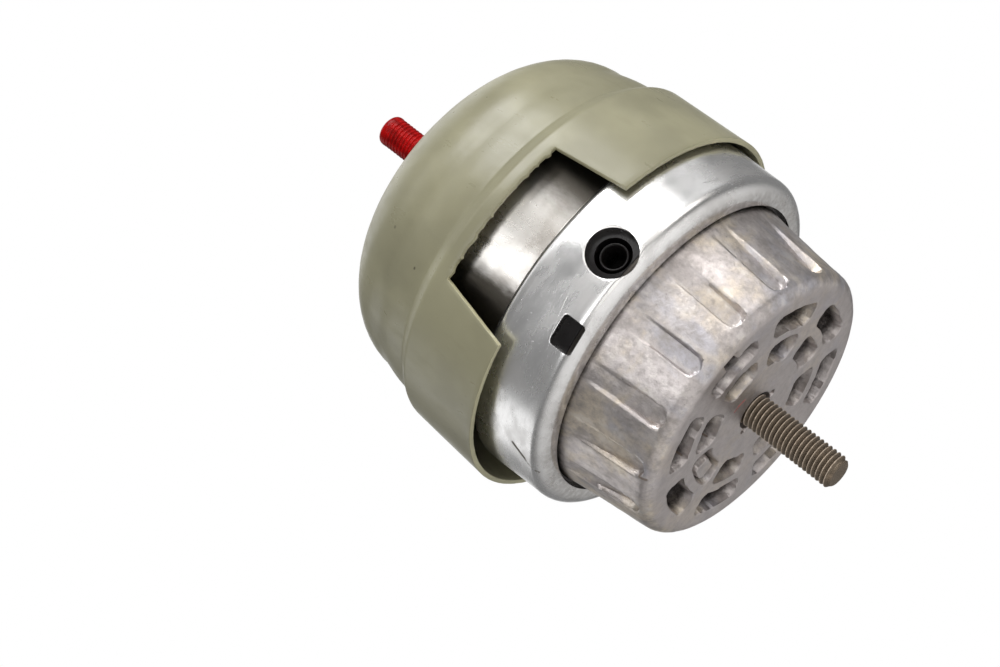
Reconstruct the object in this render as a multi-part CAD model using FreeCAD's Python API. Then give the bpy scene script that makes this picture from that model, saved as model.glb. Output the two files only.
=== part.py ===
"""Hydraulic engine mount: die-cast base, crimped collar, rubber spring and moulded heat shield."""
import FreeCAD, Part
import math
import os

# The mount stands along Z. Z = 0 is the flat underside of the base casting, and the dome points up.
# Azimuths are in degrees from -Y towards +X.

# Studs
lower_stud_radius = 5.0        # M10
lower_stud_reach = 30.0        # below the base face
lower_thread_inside = 1.2      # thread that runs on into the casting
lower_shank_thinner = 0.5
lower_press_thicker = 0.6
lower_head_radius = 9.0
lower_head_height = 4.0
upper_stud_radius = 4.0        # M8
upper_stud_reach = 23.0        # above the top face of the core
upper_stud_depth = 20.0        # held in the core
stud_chamfer = 1.2
cap_wall = 0.75
cap_end = 1.0
cap_lift = 2.2                 # the cap's open end above the core

# Collar
collar_radius = 54.7
collar_wall = 2.0
collar_lip = 2.0
collar_lip_width = 7.2         # how far the lip is rolled in
collar_shoulder = 4.6
collar_top_lip = 3.4
collar_chamfer = 3.0
port_azimuth = 8.4
port_rise = 5.3                # above the plate's underside
port_hole_radius = 7.4
slot_azimuth = -17.4
slot_width = 9.4
slot_height = 7.3
slot_rise = 0.3                # above the lip
slot_corner = 1.0

# Base casting
neck_height = 29.2             # from the base face to the collar's lip
neck_gap = 1.4                 # between the neck and the lip
base_taper = 3.1
base_edge_round = 4.0
base_floor = 13.0
base_wall_low = 4.0
base_wall_high = 5.6
base_flange = 2.2
stud_hole_gap = 1.0
stud_hole_depth = 7.0
relief_radius = 1.3            # two crescents beside the stud hole
flute_count = 16
flute_phase = -2.75
flute_radius = 3.9
flute_depth = 2.2              # at the lower end
flute_end = 6.0                # centre of the flute's round end above the face
pocket_count = 8
pocket_phase = 7.5
pocket_edge = 7.4              # from the flank to the outer pockets
pocket_rib = 3.3               # between the outer and inner pockets
outer_pocket_width = 7.3
outer_pocket_half_angle = 16.5
outer_pocket_depth = 7.0
inner_pocket_width = 7.8
inner_pocket_half_angle = 16.5
inner_pocket_depth = 5.0
pocket_corner = 2.0
pocket_draft = 0.9             # the pocket's wall leans in by this much
pad_index = 6                  # the inner pocket that holds a raised pad
pad_length = 12.0
pad_width = 6.6
pad_drop = 0.3                 # pad's face above the base face
notch_width = 4.6              # small step in the base edge
notch_depth = 1.3

# Pieces stacked inside the collar
fit_gap = 0.15                 # radial play of each piece in its seat
plate_height = 13.5
plate_recess = 2.0
cover_rim = 6.5                # of the plate, round the cover
cover_thickness = 2.5
track_margin = 8.0
track_width = 8.0
track_depth = 4.5
track_start = 45.0
track_sweep = 280.0
track_port_margin = 0.5
track_port_inset = 10.0        # degrees in from the track's ends
membrane_margin = 5.0
membrane_seat = 4.0
membrane_thickness = 3.0
air_chamber_depth = 3.5
duct_radius = 1.6
recess_radius = 5.2
recess_depth = 11.0
nipple_radius = 4.4
nipple_bore = 3.2
nipple_setback = 0.8
nipple_foot = 1.6
grid_hole_radius = 2.2
grid_pitch = 8.0
grid_ring_counts = (6, 12)
seal_section = 0.9
ring_flange = 3.0
ring_height = 17.0
ring_wall = 2.45
ring_flare = 5.6
bellows_gap = 0.6
bellows_wall = 1.8
bellows_bead_width = 5.0
bellows_bead_height = 2.0
bellows_ring_height = 1.2
bellows_drop = 8.4             # level of the rolls below the channel plate
bellows_roll = 6.6
bellows_crown = 5.8

# Steel housing above the collar
housing_setback = 1.35         # inside the collar's inner wall
housing_sheet = 2.0
housing_height = 36.0          # above the collar's pieces
housing_shoulder = 7.0
housing_mouth_gap = 12.0       # round the core's column

# Core and rubber spring
core_foot_radius = 9.0
core_foot_height = 12.0        # above the spring ring's underside
core_cone_radius = 26.0
core_cone_height = 15.0
core_flange_gap = 9.2          # to the housing
core_flange = 4.0
core_column_radius = 24.0
core_column_drop = 16.3        # below the core's top
core_seat_width = 4.0
core_boss_radius = 12.0
core_boss_rise = 1.0           # above the shield
spring_bow = 1.5               # how far the rubber's faces bulge
buffer_height = 3.5
buffer_width = 9.0

# Heat shield
shield_wall = 2.2
shield_headroom = 32.3         # above the housing
shield_flat_radius = 16.0
shield_dome_depth = 26.2
shield_draft = 0.5             # of the wall under the dome
shield_step_drop = 27.3        # below the shield's top
shield_step_height = 18.4
shield_step = 4.6
shield_step_bow = 0.6
shield_flare = 1.4             # of the skirt
shield_skirt_gap = 2.6         # round the collar
shield_overlap = 6.7           # of the skirt over the collar
shield_bore_gap = 0.4
window_azimuth = 0.0
window_half_angle = 24.3
window_rise = 16.6             # above the collar
shield_tilt = 1.5              # the shield sits a little cocked on the core
shield_low_azimuth = 59.0
retainer_margin = 0.2          # to the edge of the shield's flat top
retainer_thickness = 0.8
retainer_slots = 6
retainer_slot_width = 2.0

# Heights, worked out from the thicknesses above
flange_level = neck_height + collar_lip
plate_level = flange_level + base_flange
ring_level = plate_level + plate_height
housing_level = ring_level + ring_flange
collar_step = housing_level + housing_sheet
collar_top = collar_step + collar_top_lip
housing_top = housing_level + housing_height
core_level = ring_level + core_foot_height
core_flange_level = core_level + core_cone_height
port_height = plate_level + port_rise
bellows_level = plate_level - bellows_drop
shield_top = housing_top + shield_headroom
shield_step_top = shield_top - shield_step_drop
shield_step_foot = shield_step_top - shield_step_height
shield_rim = collar_top - shield_overlap
core_top = shield_top + core_boss_rise

# Radii, worked out from the collar inwards and outwards
pack_radius = collar_radius - collar_wall - fit_gap
collar_lip_radius = collar_radius - collar_lip_width
neck_radius = collar_lip_radius - neck_gap
base_radius = neck_radius - base_taper
cavity_floor_radius = base_radius - base_wall_low
cavity_mouth_radius = neck_radius - base_wall_high
bellows_outer_radius = cavity_floor_radius - bellows_gap
outer_pocket_outer = base_radius - pocket_edge
outer_pocket_inner = outer_pocket_outer - outer_pocket_width
inner_pocket_outer = outer_pocket_inner - pocket_rib
inner_pocket_inner = inner_pocket_outer - inner_pocket_width
cover_radius = pack_radius - cover_rim
seal_radius = cover_radius + cover_rim / 2
track_outer = cover_radius - track_margin
track_inner = track_outer - track_width
membrane_radius = track_inner - membrane_margin
air_chamber_radius = membrane_radius - membrane_seat
housing_radius = collar_radius - collar_wall - fit_gap - housing_setback
ring_top_radius = housing_radius - housing_sheet - ring_wall
ring_mouth_radius = ring_top_radius - ring_flare
housing_mouth = core_column_radius + housing_mouth_gap
core_flange_radius = housing_radius - housing_sheet - core_flange_gap
core_seat_radius = core_boss_radius + core_seat_width
shield_rim_radius = collar_radius + shield_skirt_gap + shield_wall
shield_step_foot_radius = shield_rim_radius - shield_flare
shield_step_top_radius = shield_step_foot_radius - shield_step
shield_dome_radius = shield_step_top_radius - shield_draft
retainer_radius = shield_flat_radius - retainer_margin
lower_shank_radius = lower_stud_radius - lower_shank_thinner
lower_press_radius = lower_stud_radius + lower_press_thicker

origin = FreeCAD.Vector(0, 0, 0)
up = FreeCAD.Vector(0, 0, 1)


def point(radius, height):
    return FreeCAD.Vector(radius, 0, height)


def turned(start, *path):
    """Solid turned about Z from a closed outline: each step is a point, or a middle and an end of an arc."""
    edges, here = [], point(*start)
    for step in list(path) + [start]:
        end = point(*step[-2:])
        if len(step) == 4:
            edges.append(Part.Arc(here, point(*step[:2]), end).toShape())
        elif here.distanceToPoint(end) > 1e-6:
            edges.append(Part.LineSegment(here, end).toShape())
        here = end
    return Part.Face(Part.Wire(edges)).revolve(origin, up, 360)


def corner_arc(centre, radius, from_angle, to_angle):
    """Middle and end of an arc about centre, for an outline of turned()."""
    middle = math.radians((from_angle + to_angle) / 2)
    end = math.radians(to_angle)
    return (centre[0] + radius * math.cos(middle), centre[1] + radius * math.sin(middle),
            centre[0] + radius * math.cos(end), centre[1] + radius * math.sin(end))


def turn_to(shape, azimuth):
    """Turns a shape built about -Y to its azimuth."""
    return shape.rotated(origin, up, azimuth)


def rod(radius, start, end):
    """Round bar between two points."""
    return Part.makeCylinder(radius, start.distanceToPoint(end), start, end - start)


def sector_wire(inner, outer, half_angle, height):
    """Ring sector about -Y."""
    def at(radius, angle):
        turn = math.radians(angle)
        return FreeCAD.Vector(radius * math.sin(turn), -radius * math.cos(turn), height)
    return Part.Wire([
        Part.Arc(at(outer, -half_angle), at(outer, 0), at(outer, half_angle)).toShape(),
        Part.LineSegment(at(outer, half_angle), at(inner, half_angle)).toShape(),
        Part.Arc(at(inner, half_angle), at(inner, 0), at(inner, -half_angle)).toShape(),
        Part.LineSegment(at(inner, -half_angle), at(outer, -half_angle)).toShape()])


def flank_radius(height):
    return base_radius + (neck_radius - base_radius) * height / neck_height


def pocket(inner, outer, half_angle, depth):
    """Cored pocket, wider at the face than at its floor."""
    overshoot = depth / 5
    wires = []
    for height in (-overshoot, depth):
        lean = pocket_draft * height / depth
        wires.append(sector_wire(inner + lean, outer - lean, half_angle - math.degrees(lean / inner), height))
    solid = Part.makeLoft(wires, True, True)
    upright = [e for e in solid.Edges if abs(e.Vertexes[0].Z - e.Vertexes[-1].Z) > depth]
    return solid.makeFillet(pocket_corner, upright)


def base_casting():
    press = lower_press_radius
    mouth = lower_stud_radius + stud_hole_gap
    edge = base_edge_round
    corner = (flank_radius(edge) - edge, edge)
    lip_clear = collar_lip_radius - fit_gap
    body = turned((mouth, 0), (corner[0], 0),
                  corner_arc(corner, edge, -90, 0),
                  (neck_radius, neck_height), (lip_clear, flange_level),
                  (pack_radius, flange_level), (pack_radius, plate_level),
                  (bellows_seat_radius(), plate_level), (bellows_seat_radius(), bellows_seat_level()),
                  (cavity_mouth_radius, bellows_seat_level()), (cavity_floor_radius, base_floor),
                  (press, base_floor), (press, stud_hole_depth), (mouth, stud_hole_depth))
    cuts = []
    for i in range(flute_count):
        low = point(flank_radius(flute_end) + flute_radius - flute_depth, flute_end)
        high = point(flank_radius(neck_height) + flute_radius, neck_height)
        flute = rod(flute_radius, low, high).fuse(Part.makeSphere(flute_radius, low))
        cuts.append(turn_to(flute, -90 + flute_phase + i * 360 / flute_count))
    outer = pocket(outer_pocket_inner, outer_pocket_outer, outer_pocket_half_angle, outer_pocket_depth)
    inner = pocket(inner_pocket_inner, inner_pocket_outer, inner_pocket_half_angle, inner_pocket_depth)
    for i in range(pocket_count):
        azimuth = pocket_phase + i * 360 / pocket_count
        cuts.append(turn_to(outer, azimuth))
        cuts.append(turn_to(inner, azimuth))
    for side in (-1, 1):
        centre = FreeCAD.Vector(side * (mouth + relief_radius / 3), 0, -1)
        cuts.append(Part.makeCylinder(relief_radius, 1 + stud_hole_depth / 2, centre))
    step = Part.makeBox(notch_width, base_edge_round, 2 * notch_depth,
                        FreeCAD.Vector(-notch_width / 2, -corner[0] - base_edge_round / 2, -notch_depth))
    cuts.append(turn_to(step, pocket_phase))
    body = body.cut(Part.makeCompound(cuts))
    middle = (inner_pocket_inner + inner_pocket_outer) / 2
    pad = Part.makeBox(pad_length, pad_width, inner_pocket_depth + 1 - pad_drop,
                       FreeCAD.Vector(-pad_length / 2, -middle - pad_width / 2, pad_drop))
    pad = pad.makeFillet(1.0, [e for e in pad.Edges if abs(e.tangentAt(e.FirstParameter).z) > 0.9])
    return body.fuse(turn_to(pad, pocket_phase + pad_index * 360 / pocket_count)).removeSplitter()


def bellows_seat_radius():
    return bellows_outer_radius + bellows_bead_width + fit_gap


def bellows_seat_level():
    return plate_level - bellows_bead_height - bellows_ring_height


def lower_stud():
    tip = -lower_stud_reach
    return turned((0, tip), (lower_stud_radius - stud_chamfer, tip),
                  (lower_stud_radius, tip + stud_chamfer), (lower_stud_radius, lower_thread_inside),
                  (lower_shank_radius, lower_thread_inside), (lower_shank_radius, stud_hole_depth),
                  (lower_press_radius, stud_hole_depth), (lower_press_radius, base_floor),
                  (lower_head_radius, base_floor), (lower_head_radius, base_floor + lower_head_height),
                  (0, base_floor + lower_head_height))


def bellows():
    """Rolled rubber diaphragm: bead, one roll down, one crown up, flat middle."""
    out, wall, level = bellows_outer_radius, bellows_wall, bellows_level
    bead_top = plate_level - bellows_ring_height
    roll = (out - bellows_roll, level)
    inner_edge = roll[0] - bellows_roll
    crown = (inner_edge + wall - bellows_crown, level)
    middle_edge = crown[0] - bellows_crown
    return turned((0, level), (middle_edge, level),
                  corner_arc(crown, bellows_crown, 180, 0),
                  corner_arc(roll, bellows_roll - wall, 180, 360),
                  (out - wall, bead_top), (out + bellows_bead_width, bead_top),
                  (out + bellows_bead_width, bead_top - bellows_bead_height),
                  (out, bead_top - bellows_bead_height), (out, level),
                  corner_arc(roll, bellows_roll, 0, -180),
                  corner_arc(crown, bellows_crown - wall, 0, 180),
                  (middle_edge + wall, level - wall), (0, level - wall))


def bellows_ring():
    inner, outer = bellows_outer_radius - bellows_wall, bellows_outer_radius + bellows_bead_width
    bottom = plate_level - bellows_ring_height
    return turned((inner, bottom), (outer, bottom), (outer, plate_level), (inner, plate_level))


def track_solid(floor, top):
    """Curved channel of the inertia track, between two heights."""
    ring = Part.makeCylinder(track_outer, top - floor, FreeCAD.Vector(0, 0, floor), up, track_sweep)
    hole = Part.makeCylinder(track_inner, top - floor, FreeCAD.Vector(0, 0, floor), up, track_sweep)
    return turn_to(ring.cut(hole), -90 + port_azimuth + track_start)


def track_port(azimuth, floor, top):
    """Round hole through a plate at one end of the track."""
    middle, radius = (track_inner + track_outer) / 2, (track_outer - track_inner) / 2
    hole = Part.makeCylinder(radius - track_port_margin, top - floor, FreeCAD.Vector(0, -middle, floor))
    return turn_to(hole, azimuth)


def channel_plate():
    top = ring_level
    cover_seat = top - cover_thickness
    chamber_top = cover_seat - membrane_thickness
    inner = bellows_outer_radius
    body = turned((0, plate_level + plate_recess), (inner, plate_level + plate_recess),
                  (inner, plate_level), (pack_radius, plate_level), (pack_radius, top),
                  (cover_radius + fit_gap, top), (cover_radius + fit_gap, cover_seat),
                  (membrane_radius + fit_gap, cover_seat), (membrane_radius + fit_gap, chamber_top),
                  (air_chamber_radius, chamber_top), (air_chamber_radius, chamber_top - air_chamber_depth),
                  (0, chamber_top - air_chamber_depth))
    groove = turned((seal_radius - seal_section, top), (seal_radius - seal_section, top - seal_section),
                    (seal_radius + seal_section, top - seal_section), (seal_radius + seal_section, top))
    outside = FreeCAD.Vector(0, -collar_radius, port_height)
    floor = FreeCAD.Vector(0, recess_depth - pack_radius, port_height)
    middle = FreeCAD.Vector(0, 0, chamber_top - air_chamber_depth / 2)
    port = rod(recess_radius, outside, floor).fuse(rod(duct_radius, outside, middle))
    outlet = port_azimuth + track_start + track_sweep - track_port_inset
    return body.cut([groove, track_solid(cover_seat - track_depth, cover_seat), turn_to(port, port_azimuth),
                     track_port(outlet, plate_level, cover_seat)])


def vacuum_port():
    floor = pack_radius - recess_depth
    end = pack_radius - nipple_setback
    tube = turned((nipple_bore, floor), (recess_radius, floor), (recess_radius, floor + nipple_foot),
                  (nipple_radius, floor + nipple_foot), (nipple_radius, end), (nipple_bore, end))
    tube.rotate(origin, FreeCAD.Vector(1, 0, 0), 90)
    tube.translate(FreeCAD.Vector(0, 0, port_height))
    return turn_to(tube, port_azimuth)


def port_seal():
    foot = pack_radius - recess_depth + nipple_foot
    section = (recess_radius - nipple_radius) / 2
    ring = Part.makeTorus(nipple_radius + section, section,
                          FreeCAD.Vector(0, -foot - section, port_height), FreeCAD.Vector(0, 1, 0))
    return turn_to(ring, port_azimuth)


def channel_seal():
    return Part.makeTorus(seal_radius, seal_section / 2, FreeCAD.Vector(0, 0, ring_level - seal_section / 2))


def decoupler_membrane():
    bottom = ring_level - cover_thickness - membrane_thickness
    rib = membrane_thickness / 3
    rim = membrane_radius - air_chamber_radius
    return turned((0, bottom + rib), (membrane_radius - rim, bottom + rib), (membrane_radius - rim, bottom),
                  (membrane_radius, bottom), (membrane_radius, bottom + membrane_thickness),
                  (membrane_radius - rim, bottom + membrane_thickness),
                  (membrane_radius - rim, bottom + 2 * rib), (0, bottom + 2 * rib))


def channel_cover():
    bottom = ring_level - cover_thickness
    cover = Part.makeCylinder(cover_radius, cover_thickness, FreeCAD.Vector(0, 0, bottom))
    holes = [Part.makeCylinder(grid_hole_radius, cover_thickness, FreeCAD.Vector(0, 0, bottom))]
    for ring, count in enumerate(grid_ring_counts, 1):
        hole = Part.makeCylinder(grid_hole_radius, cover_thickness,
                                 FreeCAD.Vector(0, -ring * grid_pitch, bottom))
        holes += [turn_to(hole, i * 360 / count) for i in range(count)]
    holes.append(track_port(port_azimuth + track_start + track_port_inset, bottom, ring_level))
    return cover.cut(holes)


def collar():
    wall, shoulder = collar_wall, collar_shoulder
    inner = collar_radius - wall
    corner = (collar_radius - shoulder, neck_height + shoulder)
    body = turned((collar_lip_radius, neck_height), (corner[0], neck_height),
                  corner_arc(corner, shoulder, -90, 0),
                  (collar_radius, collar_top - collar_chamfer),
                  (collar_radius - collar_chamfer, collar_top), (housing_radius + fit_gap, collar_top),
                  (housing_radius + fit_gap, collar_step), (inner, collar_step), (inner, flange_level),
                  (collar_lip_radius, flange_level))
    hole = rod(port_hole_radius, FreeCAD.Vector(0, -collar_radius - collar_wall, port_height),
               FreeCAD.Vector(0, 0, port_height))
    slot = Part.makeBox(slot_width, collar_radius, slot_height,
                        FreeCAD.Vector(-slot_width / 2, -collar_radius - collar_wall, flange_level + slot_rise))
    slot = slot.makeFillet(slot_corner, [e for e in slot.Edges if abs(e.tangentAt(e.FirstParameter).y) > 0.9])
    return body.cut([turn_to(hole, port_azimuth), turn_to(slot, slot_azimuth)])


def spring_ring():
    outer = housing_radius - housing_sheet - fit_gap
    top = ring_level + ring_height
    return turned((ring_mouth_radius, ring_level), (pack_radius, ring_level), (pack_radius, housing_level),
                  (outer, housing_level), (outer, top), (ring_top_radius, top))


def spring_housing():
    sheet, shoulder = housing_sheet, housing_shoulder
    inner = housing_radius - sheet
    corner = (housing_radius - shoulder, housing_top - shoulder)
    return turned((inner, housing_level), (pack_radius, housing_level), (pack_radius, collar_step),
                  (housing_radius, collar_step), (housing_radius, corner[1]),
                  corner_arc(corner, shoulder, 0, 90), (housing_mouth, housing_top),
                  (housing_mouth, housing_top - sheet), (corner[0], housing_top - sheet),
                  corner_arc(corner, shoulder - sheet, 90, 0))


def core():
    flange, top = core_flange_level, core_flange_level + core_flange
    seat = shield_seat()
    bore_floor = core_top - upper_stud_depth
    return turned((0, core_level), (core_foot_radius, core_level), (core_cone_radius, flange),
                  (core_flange_radius, flange), (core_flange_radius, top), (core_column_radius, top),
                  (core_column_radius, core_top - core_column_drop), (core_seat_radius, seat),
                  (core_boss_radius, seat), (core_boss_radius, core_top),
                  (upper_stud_radius, core_top), (upper_stud_radius, bore_floor), (0, bore_floor))


def shield_seat():
    """Height of the core's seat: the cocked shield touches it on its low side."""
    return shield_top - shield_wall - core_seat_radius * math.tan(math.radians(shield_tilt))


def main_spring():
    """Thick rubber cone bonded to the core and to the spring ring."""
    ring_top = ring_level + ring_height
    upper = ((ring_top_radius + core_cone_radius) / 2, (ring_top + core_flange_level) / 2 + spring_bow)
    lower = ((ring_mouth_radius + core_foot_radius) / 2 + spring_bow,
             (ring_level + core_level) / 2 + 2 * spring_bow)
    return turned((ring_mouth_radius, ring_level), (ring_top_radius, ring_top),
                  (*upper, core_cone_radius, core_flange_level), (core_foot_radius, core_level),
                  (*lower, ring_mouth_radius, ring_level))


def stop_buffer():
    base = core_flange_level + core_flange
    inner = core_column_radius + fit_gap
    outer = core_flange_radius
    crown = outer - buffer_width / 2
    return turned((inner, base), (outer, base), (outer, base + buffer_height / 2),
                  (crown, base + buffer_height), (crown - buffer_width / 3, base + buffer_height),
                  (inner, base + buffer_height / 2))


def upper_stud():
    bottom, top = core_top - upper_stud_depth, core_top + upper_stud_reach
    return turned((0, bottom), (upper_stud_radius, bottom), (upper_stud_radius, top - stud_chamfer),
                  (upper_stud_radius - stud_chamfer, top), (0, top))


def thread_cap():
    bottom, top = core_top + cap_lift, core_top + upper_stud_reach
    outer = upper_stud_radius + cap_wall
    corner = (outer - stud_chamfer - cap_end, top + cap_end - stud_chamfer - cap_end)
    radius = stud_chamfer + cap_end
    return turned((upper_stud_radius, bottom), (outer, bottom), (outer, corner[1]),
                  corner_arc(corner, radius, 0, 90), (0, top + cap_end), (0, top),
                  (upper_stud_radius - stud_chamfer, top), (upper_stud_radius, top - stud_chamfer))


def cock(shape):
    """Tips a shape that rests on the core towards the shield's low side."""
    turn = math.radians(shield_low_azimuth)
    axis = FreeCAD.Vector(math.cos(turn), math.sin(turn), 0)
    return shape.rotated(FreeCAD.Vector(0, 0, shield_top - shield_wall), axis, shield_tilt)


def shield_outline(inset):
    """Points and arc steps of the shield's surface, from its flat top down to the rim."""
    dome, flat = shield_dome_radius - inset, shield_flat_radius
    top, depth = shield_top - inset, shield_dome_depth - inset / 2
    steps = [(flat, top)]
    for i in range(3):
        middle, end = math.radians(30 * i + 15), math.radians(30 * i + 30)
        steps.append((flat + (dome - flat) * math.sin(middle), top - depth * (1 - math.cos(middle)),
                      flat + (dome - flat) * math.sin(end), top - depth * (1 - math.cos(end))))
    upper = (shield_step_top_radius - inset, shield_step_top)
    foot = (shield_step_foot_radius - inset, shield_step_foot)
    middle = ((upper[0] + foot[0]) / 2, (upper[1] + foot[1]) / 2)
    steps += [upper, ((upper[0] + middle[0]) / 2 - shield_step_bow, (upper[1] + middle[1]) / 2, *middle),
              ((foot[0] + middle[0]) / 2 + shield_step_bow, (foot[1] + middle[1]) / 2, *foot),
              (shield_rim_radius - inset, shield_rim)]
    return steps


def heat_shield():
    bore = core_boss_radius + shield_bore_gap
    outer, inner = shield_outline(0), shield_outline(shield_wall)
    ends = [step[-2:] for step in inner]
    back = [ends[-1]]
    for i in range(len(inner) - 1, 0, -1):
        back.append((*inner[i][:2], *ends[i - 1]) if len(inner[i]) == 4 else ends[i - 1])
    shell = turned((bore, shield_top), *outer, *back, (bore, shield_top - shield_wall))
    reach = 2 * shield_rim_radius
    half = math.radians(window_half_angle)
    window = Part.Face(Part.makePolygon([
        origin, FreeCAD.Vector(-reach * math.sin(half), -reach * math.cos(half), 0),
        FreeCAD.Vector(reach * math.sin(half), -reach * math.cos(half), 0), origin]))
    window = window.extrude(FreeCAD.Vector(0, 0, collar_top + window_rise))
    return cock(shell.cut(turn_to(window, window_azimuth)))


def shield_retainer():
    """Push-on spring ring that holds the shield on the core's boss."""
    inner = core_boss_radius + shield_bore_gap / 2
    ring = turned((inner, shield_top), (retainer_radius, shield_top),
                  (retainer_radius, shield_top + retainer_thickness),
                  (inner, shield_top + retainer_thickness))
    slit = Part.makeBox(retainer_slot_width, core_boss_radius + (retainer_radius - core_boss_radius) / 2,
                        retainer_thickness, FreeCAD.Vector(-retainer_slot_width / 2, 0, shield_top))
    return cock(ring.cut([slit.rotated(origin, up, i * 360 / retainer_slots) for i in range(retainer_slots)]))


pieces = {
    "heat_shield": heat_shield, "shield_retainer": shield_retainer, "thread_cap": thread_cap,
    "upper_stud": upper_stud, "core": core, "stop_buffer": stop_buffer, "main_spring": main_spring,
    "spring_ring": spring_ring, "spring_housing": spring_housing, "collar": collar,
    "channel_cover": channel_cover, "channel_seal": channel_seal,
    "decoupler_membrane": decoupler_membrane, "channel_plate": channel_plate,
    "vacuum_port": vacuum_port, "port_seal": port_seal, "bellows_ring": bellows_ring,
    "bellows": bellows, "base_casting": base_casting, "lower_stud": lower_stud,
}

os.makedirs("parts", exist_ok=True)
for name, make in pieces.items():
    solid = make()
    solid.exportStep(f"parts/{name}.step")
    print(f"{name}: {len(solid.Solids)} solid, valid {solid.isValid()}, {solid.Volume / 1000:.2f} cm3")
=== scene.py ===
import math

import bmesh
import bpy
from mathutils import Matrix, Vector, noise


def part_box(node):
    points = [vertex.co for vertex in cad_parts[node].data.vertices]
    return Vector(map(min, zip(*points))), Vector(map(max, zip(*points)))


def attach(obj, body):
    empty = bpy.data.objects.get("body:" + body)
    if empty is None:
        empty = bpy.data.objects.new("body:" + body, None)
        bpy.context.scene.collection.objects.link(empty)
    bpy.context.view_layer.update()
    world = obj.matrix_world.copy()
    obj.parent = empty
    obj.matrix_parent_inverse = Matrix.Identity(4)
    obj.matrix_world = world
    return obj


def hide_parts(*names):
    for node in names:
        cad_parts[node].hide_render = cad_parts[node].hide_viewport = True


# Lengths are in millimetres until a piece is finished. Azimuth is in degrees, from -Y towards +X.
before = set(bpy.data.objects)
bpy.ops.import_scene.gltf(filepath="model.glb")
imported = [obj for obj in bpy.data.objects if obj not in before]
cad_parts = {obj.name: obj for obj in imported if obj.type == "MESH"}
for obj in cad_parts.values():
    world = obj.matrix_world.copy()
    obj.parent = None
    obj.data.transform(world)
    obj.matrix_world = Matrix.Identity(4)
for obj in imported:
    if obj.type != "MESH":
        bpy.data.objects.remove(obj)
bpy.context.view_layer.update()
mm = 1000


def heights(node):
    low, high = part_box(node)
    return low.z * mm, high.z * mm


def reach(node):
    low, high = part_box(node)
    return (high.x - low.x) * mm / 2


def onRound(radius, azimuth, height):
    turn = math.radians(azimuth)
    return Vector((radius * math.sin(turn), -radius * math.cos(turn), height))


def azimuthOf(co):
    return math.degrees(math.atan2(co.x, -co.y))


def turnBetween(azimuth, centre):
    return (azimuth - centre + 180) % 360 - 180


def arcLength(azimuth, radius):
    return math.radians(azimuth) * radius


def ease(value, low, high):
    t = min(1.0, max(0.0, (value - low) / (high - low)))
    return t * t * (3 - 2 * t)


def shade(colour, share):
    return tuple(min(1, c * share) for c in colour)


class Value:
    def __init__(self, nodes, socket):
        self.nodes, self.socket = nodes, socket

    def maths(self, operation, *others):
        return self.nodes.node("ShaderNodeMath", {"operation": operation}, dict(enumerate((self, *others))))

    def __add__(self, other):
        return self.maths("ADD", other)

    def __sub__(self, other):
        return self.maths("SUBTRACT", other)

    def __mul__(self, other):
        return self.maths("MULTIPLY", other)

    def __truediv__(self, other):
        return self.maths("DIVIDE", other)

    def __pow__(self, other):
        return self.maths("POWER", other)

    def __rsub__(self, other):
        return self.nodes.node("ShaderNodeMath", {"operation": "SUBTRACT"}, {0: other, 1: self})

    __radd__, __rmul__ = __add__, __mul__

    def clamp(self):
        return self.nodes.node("ShaderNodeClamp", {}, {0: self})


class Nodes:
    def __init__(self, tree):
        self.tree = tree

    def plug(self, socket, value):
        if isinstance(value, Value):
            self.tree.links.new(value.socket, socket)
        else:
            socket.default_value = value

    def node(self, kind, settings, inputs, output=0):
        made = self.tree.nodes.new(kind)
        for name, setting in settings.items():
            setattr(made, name, setting)
        for name, value in inputs.items():
            self.plug(made.inputs[name], value)
        return Value(self, made.outputs[output])

    def band(self, value, low, high, first=0.0, last=1.0):
        return self.node("ShaderNodeMapRange", {"interpolation_type": "SMOOTHSTEP"},
                         {0: value, 1: low, 2: high, 3: first, 4: last})


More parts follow.
